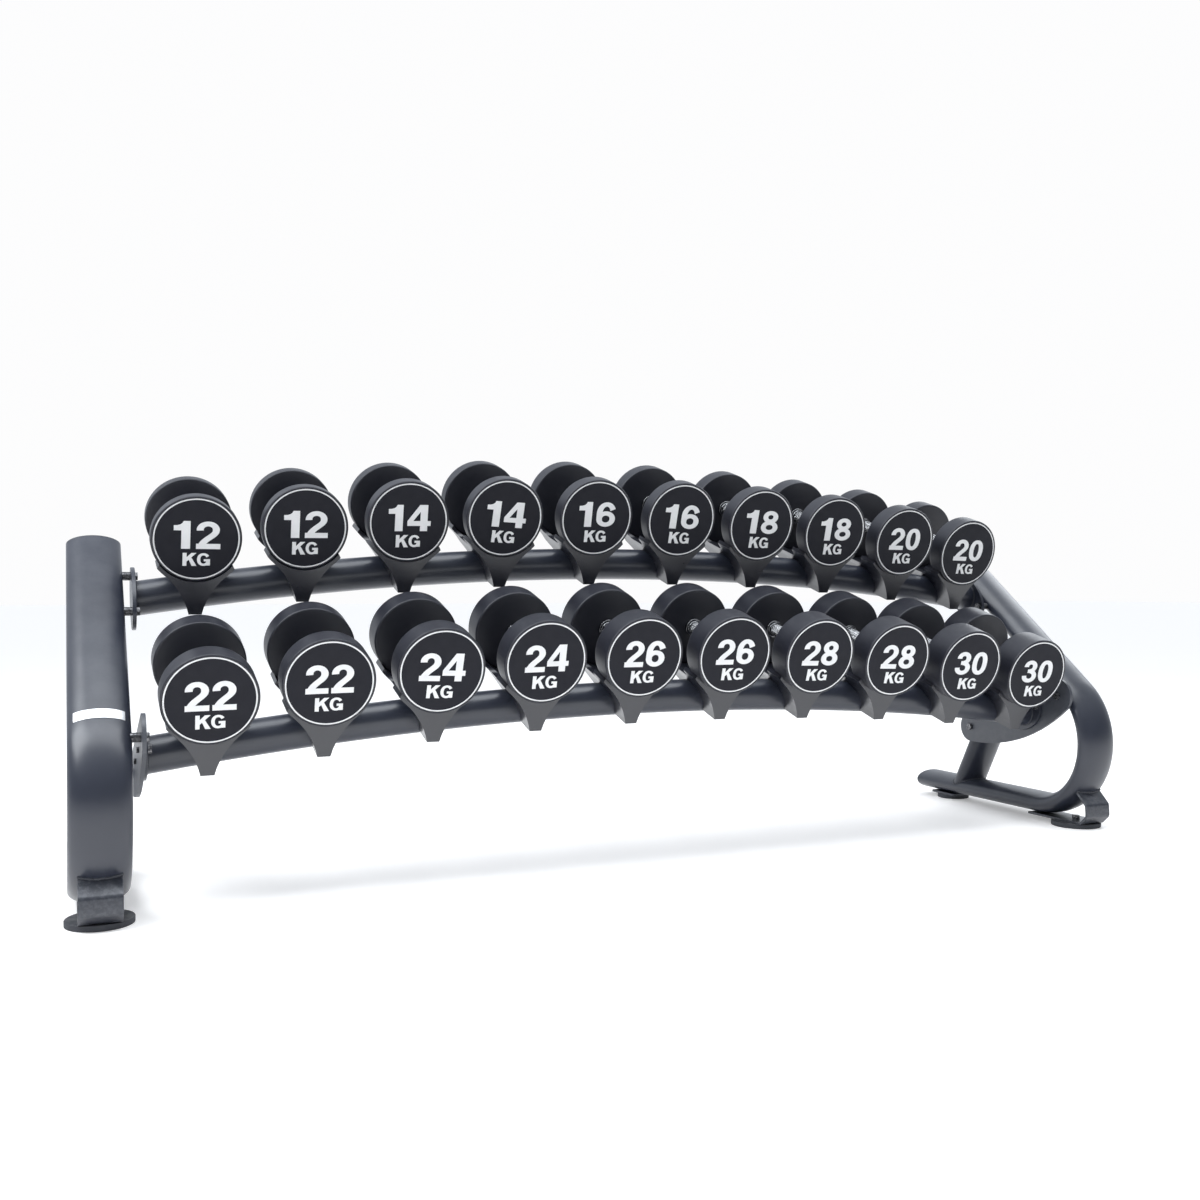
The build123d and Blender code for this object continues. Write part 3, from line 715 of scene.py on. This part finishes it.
def bead(name, path, closed, radius=0.0024):
    """A weld bead with stacked ripples along a path of points."""
    rings = []
    for place, point in enumerate(path):
        before = path[place - 1] if closed or place else path[0]
        after = path[(place + 1) % len(path)] if closed or place < len(path) - 1 else path[-1]
        tangent = (after - before).normalized()
        side = tangent.orthogonal().normalized()
        up = tangent.cross(side)
        thick = radius * (1 + 0.16 * math.sin(place * 1.9) + random.uniform(-0.07, 0.07))
        ring = []
        for step in range(10):
            turn = 2 * math.pi * step / 10
            ring.append(point + (side * math.cos(turn) + up * math.sin(turn)) * thick)
        rings.append(align(rings[-1], ring) if rings else ring)
    return skin(name, rings, closed=closed, capped=not closed)


def align(previous, ring):
    """Rotates a ring's order so that it lines up with the one before."""
    count = len(ring)
    best = min(range(count), key=lambda shift: (ring[shift] - previous[0]).length)
    return ring[best:] + ring[:best]


def spaced(points, gap):
    """Points along a closed loop, evenly spaced."""
    loop = points + [points[0]]
    placed = []
    carry = 0.0
    for start, finish in zip(loop, loop[1:]):
        length = (finish - start).length
        while carry < length:
            placed.append(start.lerp(finish, carry / length))
            carry += gap
        carry -= length
    return placed


def welds(rail_rings):
    """Beads round the struts' feet, round the rails' ends and over the straps' tips."""
    beads = []
    for x in (-FRAME_X, FRAME_X):
        turns = [2 * math.pi * step / 160 for step in range(160)]
        loop = [strut_points(x, turn, foot_height(turn)) for turn in turns]
        beads.append(bead("foot_bead", spaced(loop, WELD_GAP), True, 0.0028))
        across = [-STRAP_HALF + 2 * STRAP_HALF * step / 34 for step in range(35)]
        strap = []
        for offset in across:
            spot = BEND + STRAP_TIP * (BEND_R + TUBE[1] * math.sqrt(1 - (offset / TUBE[0]) ** 2))
            strap.append(Vector((x + offset, spot.x, spot.y + random.uniform(-0.0006, 0.0006))))
        beads.append(bead("strap_bead", strap, False, 0.0032))
    for ring in rail_rings:
        beads.append(bead("rail_bead", spaced(ring, WELD_GAP), True, 0.0025))
    new_piece("weld_beads", joined("weld_beads", beads), [weld], "rack", 60)


# ---------------------------------------------------------------- numbers and unit

HEAVY, LIGHT = 0.238, 0.172       # widths of upright and level strokes, for a height of 1


def curve(centre, radii, start, finish, steps=28, square=2.0):
    """Points of an oval arc, angles in degrees; square above 2 fills out its corners."""
    points = []
    for step in range(steps + 1):
        turn = math.radians(start + (finish - start) * step / steps)
        across, up = math.cos(turn), math.sin(turn)
        across = math.copysign(abs(across) ** (2 / square), across)
        up = math.copysign(abs(up) ** (2 / square), up)
        points.append((centre[0] + radii[0] * across, centre[1] + radii[1] * up))
    return points


def swing(first, second, third, fourth, steps=14):
    """Points of a cubic curve."""
    points = []
    for step in range(1, steps + 1):
        t = step / steps
        weights = ((1 - t) ** 3, 3 * t * (1 - t) ** 2, 3 * t * t * (1 - t), t ** 3)
        corners = (first, second, third, fourth)
        points.append(tuple(sum(w * c[axis] for w, c in zip(weights, corners)) for axis in (0, 1)))
    return points


def box_shape(x0, y0, x1, y1):
    """Corners of an upright rectangle."""
    return [(x0, y0), (x1, y0), (x1, y1), (x0, y1)]


# Each sign: its advance, its drawn strokes (points and whether they close) and its filled shapes.
SIGNS = {
    "0": (0.80, [(curve((0.37, 0.5), (0.245, 0.408), 0, 360, 56, 2.25), True)], []),
    "1": (0.66, [], [
        box_shape(0.25, 0, 0.51, 0.7),
        [(0.03, 0.66), (0.51, 0.66), (0.51, 1.0), (0.31, 1.0),
         (0.28, 0.93), (0.22, 0.875), (0.13, 0.845), (0.03, 0.84)],
    ]),
    "2": (0.80, [
        (curve((0.365, 0.69), (0.235, 0.22), 186, -28)
         + swing((0.572, 0.587), (0.5, 0.45), (0.24, 0.34), (0.16, 0.1)), False),
    ], [box_shape(0.02, 0, 0.73, 0.19)]),
    "3": (0.80, [
        (curve((0.35, 0.72), (0.215, 0.19), 184, -90), False),
        (curve((0.355, 0.3), (0.25, 0.208), 90, -184), False),
    ], [box_shape(0.24, 0.44, 0.37, 0.6)]),
    "4": (0.82, [], [
        box_shape(0.0, 0.2, 0.78, 0.385),
        box_shape(0.43, 0.0, 0.67, 1.0),
        [(0.0, 0.385), (0.19, 0.385), (0.43, 0.74), (0.43, 1.0), (0.4, 1.0)],
    ]),
    "6": (0.80, [
        (curve((0.37, 0.318), (0.245, 0.226), 0, 360, 56), True),
        ([(0.127, 0.3), (0.125, 0.4)] + curve((0.38, 0.55), (0.255, 0.358), 180, 22), False),
    ], []),
    "8": (0.80, [
        (curve((0.37, 0.728), (0.208, 0.18), 0, 360, 56), True),
        (curve((0.37, 0.288), (0.245, 0.196), 0, 360, 56), True),
    ], []),
    "K": (0.88, [], [
        box_shape(0.0, 0.0, 0.25, 1.0),
        [(0.25, 0.33), (0.86, 1.0), (0.54, 1.0), (0.25, 0.66)],
        [(0.36, 0.54), (0.53, 0.68), (0.88, 0.0), (0.57, 0.0)],
    ]),
    "G": (0.90, [
        (curve((0.43, 0.5), (0.305, 0.405), 32, 318, 44, 2.15), False),
    ], [box_shape(0.59, 0.04, 0.84, 0.5), box_shape(0.45, 0.36, 0.84, 0.53)]),
}


def band(points, closed):
    """Both edges of a stroke that is heavy where it runs up and lighter where it lies."""
    left, right = [], []
    ring = points[:-1] if closed else points
    for place, point in enumerate(ring):
        before = ring[place - 1] if closed or place else ring[0]
        after = ring[(place + 1) % len(ring)] if closed or place < len(ring) - 1 else ring[-1]
        way = (Vector(after) - Vector(before)).normalized()
        half = (HEAVY * way.y ** 2 + LIGHT * way.x ** 2) / 2
        side = Vector((-way.y, way.x)) * half
        left.append(Vector(point) + side)
        right.append(Vector(point) - side)
    return left, right


def put_strip(work, left, right, closed, at, scale, level):
    """One stroke as a raised strip."""
    def corner(spot, height):
        return work.verts.new((at[0] + spot.x * scale, height, at[1] + spot.y * scale))
    top = [(corner(a, -level), corner(b, -level)) for a, b in zip(left, right)]
    foot = [(corner(a, 0), corner(b, 0)) for a, b in zip(left, right)]
    count = len(top)
    for place in range(count if closed else count - 1):
        ahead = (place + 1) % count
        work.faces.new((top[place][0], top[ahead][0], top[ahead][1], top[place][1]))
        work.faces.new((top[place][0], foot[place][0], foot[ahead][0], top[ahead][0]))
        work.faces.new((top[place][1], top[ahead][1], foot[ahead][1], foot[place][1]))
    if not closed:
        for end in (0, count - 1):
            work.faces.new((top[end][0], top[end][1], foot[end][1], foot[end][0]))


def put_shape(work, corners, at, scale, level):
    """One filled shape, raised by its level."""
    top = [work.verts.new((at[0] + x * scale, -level, at[1] + y * scale)) for x, y in corners]
    foot = [work.verts.new((at[0] + x * scale, 0, at[1] + y * scale)) for x, y in corners]
    work.faces.new(top)
    for place in range(len(top)):
        ahead = (place + 1) % len(top)
        work.faces.new((top[place], foot[place], foot[ahead], top[ahead]))


def put_text(work, text, height, middle_z, width=None):
    """A word of signs, centred, its face towards -Y."""
    natural = sum(SIGNS[sign][0] for sign in text) - 0.06
    stretch = width / (natural * height) if width else 1.0
    pen = -natural * height * stretch / 2
    for sign in text:
        advance, strokes, shapes = SIGNS[sign]
        for order, (points, closed) in enumerate(strokes):
            drawn = [(x * stretch, y) for x, y in points]
            left, right = band(drawn, closed)
            level = PRINT_LIFT + order * STROKE_LIFT
            put_strip(work, left, right, closed, (pen, middle_z - height / 2), height, level)
        for order, corners in enumerate(shapes):
            drawn = [(x * stretch, y) for x, y in corners]
            level = PRINT_LIFT + (order + 2) * STROKE_LIFT
            put_shape(work, drawn, (pen, middle_z - height / 2), height, level)
        pen += advance * height * stretch


def put_ring(work, segments=HEAD_STEPS):
    """The thin white ring near the rim."""
    inner, outer, low_inner, low_outer = [], [], [], []
    for step in range(segments):
        turn = 2 * math.pi * step / segments
        across, up = math.cos(turn), math.sin(turn)
        inner.append(work.verts.new((RING[0] * across, -PRINT_LIFT, RING[0] * up)))
        outer.append(work.verts.new((RING[1] * across, -PRINT_LIFT, RING[1] * up)))
        low_inner.append(work.verts.new((RING[0] * across, 0, RING[0] * up)))
        low_outer.append(work.verts.new((RING[1] * across, 0, RING[1] * up)))
    for step in range(segments):
        ahead = (step + 1) % segments
        work.faces.new((inner[step], inner[ahead], outer[ahead], outer[step]))
        work.faces.new((inner[step], low_inner[step], low_inner[ahead], inner[ahead]))
        work.faces.new((outer[step], outer[ahead], low_outer[ahead], low_outer[step]))


def marks_mesh(weight, thickness):
    """Ring, number and unit on both end faces of one dumbbell."""
    depth = HALF_GAP + thickness - FACE_DEPTH
    mesh = bpy.data.meshes.new(f"marks_{weight}")
    both = bmesh.new()
    for turned in (False, True):
        work = bmesh.new()
        put_ring(work)
        put_text(work, str(weight), NUMBER_HEIGHT, NUMBER_Z, NUMBER_WIDTH)
        put_text(work, "KG", UNIT_HEIGHT, UNIT_Z, UNIT_WIDTH)
        bmesh.ops.translate(work, vec=(0, -depth, 0), verts=work.verts)
        if turned:
            bmesh.ops.rotate(work, cent=(0, 0, 0), matrix=Matrix.Rotation(math.pi, 3, "Z"), verts=work.verts)
        half = bpy.data.meshes.new("half")
        work.to_mesh(half)
        work.free()
        both.from_mesh(half)
    both.to_mesh(mesh)
    both.free()
    return mesh


# ---------------------------------------------------------------- dumbbells


def head_profile(thickness):
    """Section of one head, from the bar out over the inner face, the side and the end face."""
    profile = [(GRIP_R, 0.0), (0.030, 0.0)]
    profile += round_corner((HEAD_R - SIDE_SOFT, SIDE_SOFT), SIDE_SOFT, -90, 0, 6)
    profile += [(HEAD_R, SIDE_SOFT + 0.004), (HEAD_R, thickness / 2), (HEAD_R, thickness - RIM_SOFT - 0.004)]
    profile += round_corner((HEAD_R - RIM_SOFT, thickness - RIM_SOFT), RIM_SOFT, 0, 90, 6)
    profile += [(FACE_R + 0.0002, thickness), (FACE_R - 0.0004, thickness - 0.0003)]
    profile += [(FACE_R - LIP, thickness - FACE_DEPTH)]
    return profile


def heads_mesh(weight, thickness):
    """Both heads of one dumbbell, with the end faces in their own finish."""
    both = bmesh.new()
    for way in (-1, 1):
        side = [(radius, way * (HALF_GAP + along)) for radius, along in head_profile(thickness)]
        both.from_mesh(lathe("side", side, HEAD_STEPS))
        rubber_faces = len(both.faces)
        level = way * (HALF_GAP + thickness - FACE_DEPTH)
        disc = [(FACE_R - LIP, level), (RING[0] - 0.001, level), (0.05, level), (0.02, level), (0, level)]
        both.from_mesh(lathe("disc", disc, HEAD_STEPS))
        both.faces.ensure_lookup_table()
        for number in range(rubber_faces, len(both.faces)):
            both.faces[number].material_index = 1
    bmesh.ops.recalc_face_normals(both, faces=both.faces)
    both.faces.ensure_lookup_table()
    mesh = bpy.data.meshes.new(f"heads_{weight}")
    both.to_mesh(mesh)
    both.free()
    return mesh


def handle_mesh():
    """Grip with a soft-edged collar against each head."""
    reach = HALF_GAP
    profile = [(0, -reach - 0.002), (COLLAR_R - 0.002, -reach - 0.002), (COLLAR_R, -reach)]
    profile += round_corner((COLLAR_R - 0.0015, -reach + COLLAR_T - 0.0015), 0.0015, 0, 90, 5)
    profile += [(GRIP_R + 0.001, -reach + COLLAR_T), (GRIP_R, -reach + COLLAR_T + 0.001)]
    steps = 12
    for step in range(steps + 1):
        along = -0.060 + 0.120 * step / steps
        profile.append((GRIP_R, along))
    mirrored = [(radius, -along) for radius, along in reversed(profile[:-steps - 1])]
    return lathe("handle", profile + mirrored, 96)


def dumbbells():
    """All twenty dumbbells, each on its own body, rolled a little as hands leave them."""
    bar = handle_mesh()
    for weight in range(12, 32, 2):
        node = f"dumbbell_{weight}_a_heads"
        low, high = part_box(node)
        length = ((high.y - low.y) - 2 * HEAD_R * math.sin(TILT)) / math.cos(TILT)
        thickness = length / 2 - HALF_GAP
        heads = heads_mesh(weight, thickness)
        marks = marks_mesh(weight, thickness)
        for letter in "ab":
            name = f"dumbbell_{weight}_{letter}"
            low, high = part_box(f"{name}_heads")
            roll = math.radians(random.uniform(-1.5, 2.5))
            turn = Matrix.Rotation(TILT, 4, "X") @ Matrix.Rotation(roll, 4, "Y")
            place = Matrix.Translation((low + high) / 2) @ turn
            pieces = (
                (f"{name}_round_heads", heads, [rubber, face], "head_rubber", f"{name}_heads"),
                (f"{name}_marks", marks, [ink], None, None),
                (f"{name}_knurled_handle", bar, [chrome], "grip_chrome", f"{name}_handle"),
            )
            for title, mesh, finishes, slot, node in pieces:
                piece = bpy.data.objects.new(title, mesh)
                if not mesh.materials:
                    for finish in finishes:
                        mesh.materials.append(finish)
                    mesh.polygons.foreach_set("use_smooth", [True] * len(mesh.polygons))
                    mesh.set_sharp_from_angle(angle=math.radians(50))
                bpy.context.scene.collection.objects.link(piece)
                piece.matrix_world = place
                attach(piece, name)
                if node:
                    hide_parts(node)


# ---------------------------------------------------------------- the rest of the rack


def carried_over():
    """Machined, cut and moulded pieces, with their edges broken."""
    finished_copy("rail_flanges", coat, PLATE_EDGE)
    finished_copy("gusset_plates", plate, PLATE_EDGE)
    finished_copy("foot_straps", strap, CUT_EDGE)
    finished_copy("rear_foot_plates", coat, CUT_EDGE)
    finished_copy("post_caps", cap, FINE_EDGE)
    finished_copy("base_caps", cap, FINE_EDGE)
    finished_copy("standoff_bushes", oxide, FINE_EDGE)
    finished_copy("frame_bolts", oxide, CUT_EDGE)
    finished_copy("flange_bolts", oxide, CUT_EDGE)
    finished_copy("foot_bolts", oxide, CUT_EDGE)
    finished_copy("saddle_screws", oxide, FINE_EDGE)
    finished_copy("left_badge", badge, 0.0002, 1)
    finished_copy("foot_pads", pad, CUT_EDGE)
    finished_copy("upper_saddles", saddle, MOULDED_EDGE, 3)
    finished_copy("lower_saddles", saddle, MOULDED_EDGE, 3)


end_frame("left", -FRAME_X)
end_frame("right", FRAME_X)
struts()
rail_ends = rail("upper") + rail("lower")
welds(rail_ends)
dumbbells()
carried_over()

# ---------------------------------------------------------------- studio


def floor():
    """A wide, flat, pale floor."""
    work = bmesh.new()
    signs = ((-1, -1), (1, -1), (1, 1), (-1, 1))
    work.faces.new([work.verts.new((x * FLOOR_HALF, y * FLOOR_HALF, 0)) for x, y in signs])
    mesh = bpy.data.meshes.new("studio_floor")
    work.to_mesh(mesh)
    work.free()
    mesh.materials.append(studio_floor())
    piece = bpy.data.objects.new("studio_floor", mesh)
    bpy.context.scene.collection.objects.link(piece)


def softbox(name, place, target, size, power):
    """A rectangular soft light aimed at a point."""
    light = bpy.data.lights.new(name, "AREA")
    light.shape = "RECTANGLE"
    light.size, light.size_y = size
    light.energy = power
    light.color = LIGHT_TINT
    lamp = bpy.data.objects.new(name, light)
    lamp.location = place
    lamp.rotation_mode = "QUATERNION"
    lamp.rotation_quaternion = (Vector(target) - Vector(place)).to_track_quat("-Z", "Y")
    bpy.context.scene.collection.objects.link(lamp)


def surroundings():
    """White to the eye; brighter above and behind than in front, as in a white studio."""
    world = bpy.data.worlds.new("white_studio")
    bpy.context.scene.world = world
    world.use_nodes = True
    tree = world.node_tree
    tree.nodes.clear()
    out = tree.nodes.new("ShaderNodeOutputWorld")
    room = tree.nodes.new("ShaderNodeBackground")
    plain = tree.nodes.new("ShaderNodeBackground")
    plain.inputs["Color"].default_value = (0.98, 0.98, 0.985, 1)
    plain.inputs["Strength"].default_value = 1.0
    place = tree.nodes.new("ShaderNodeTexCoord")
    part = tree.nodes.new("ShaderNodeSeparateXYZ")
    tree.links.new(place.outputs["Generated"], part.inputs[0])
    behind = ranged(tree, part.outputs["Y"], -0.65, 0.55)
    above = ranged(tree, part.outputs["Z"], 0.1, 0.95)
    light = maths(tree, "MAXIMUM", behind, above)
    strength = maths(tree, "ADD", maths(tree, "MULTIPLY", light, 0.88), 0.12)
    tree.links.new(strength, room.inputs["Strength"])
    room.inputs["Color"].default_value = (0.88, 0.93, 1.0, 1)
    eye = tree.nodes.new("ShaderNodeLightPath")
    either = tree.nodes.new("ShaderNodeMixShader")
    tree.links.new(eye.outputs["Is Camera Ray"], either.inputs[0])
    tree.links.new(room.outputs[0], either.inputs[1])
    tree.links.new(plain.outputs[0], either.inputs[2])
    tree.links.new(either.outputs[0], out.inputs["Surface"])


def studio():
    """Floor, surroundings and soft lights from the upper left and overhead."""
    floor()
    surroundings()
    softbox("left_softbox", (-3.3, -0.5, 3.5), (-0.7, 0, 0.7), (2.4, 2.4), 135)
    softbox("overhead_softbox", (0.0, -0.6, 3.4), (0, 0, 0.5), (4.0, 2.0), 92)
    softbox("right_softbox", (3.6, 1.4, 2.4), (1.0, 0, 0.5), (2.0, 2.0), 34)


def camera():
    """Camera left of the rack, at a little over half a metre, turned to the right."""
    lens = bpy.data.cameras.new("camera")
    lens.lens = LENS
    lens.sensor_width = 36.0
    eye = bpy.data.objects.new("camera", lens)
    eye.location = EYE
    eye.rotation_euler = EYE_TURN
    bpy.context.scene.collection.objects.link(eye)
    bpy.context.scene.camera = eye
    bpy.context.scene.view_settings.view_transform = "Standard"


studio()
camera()
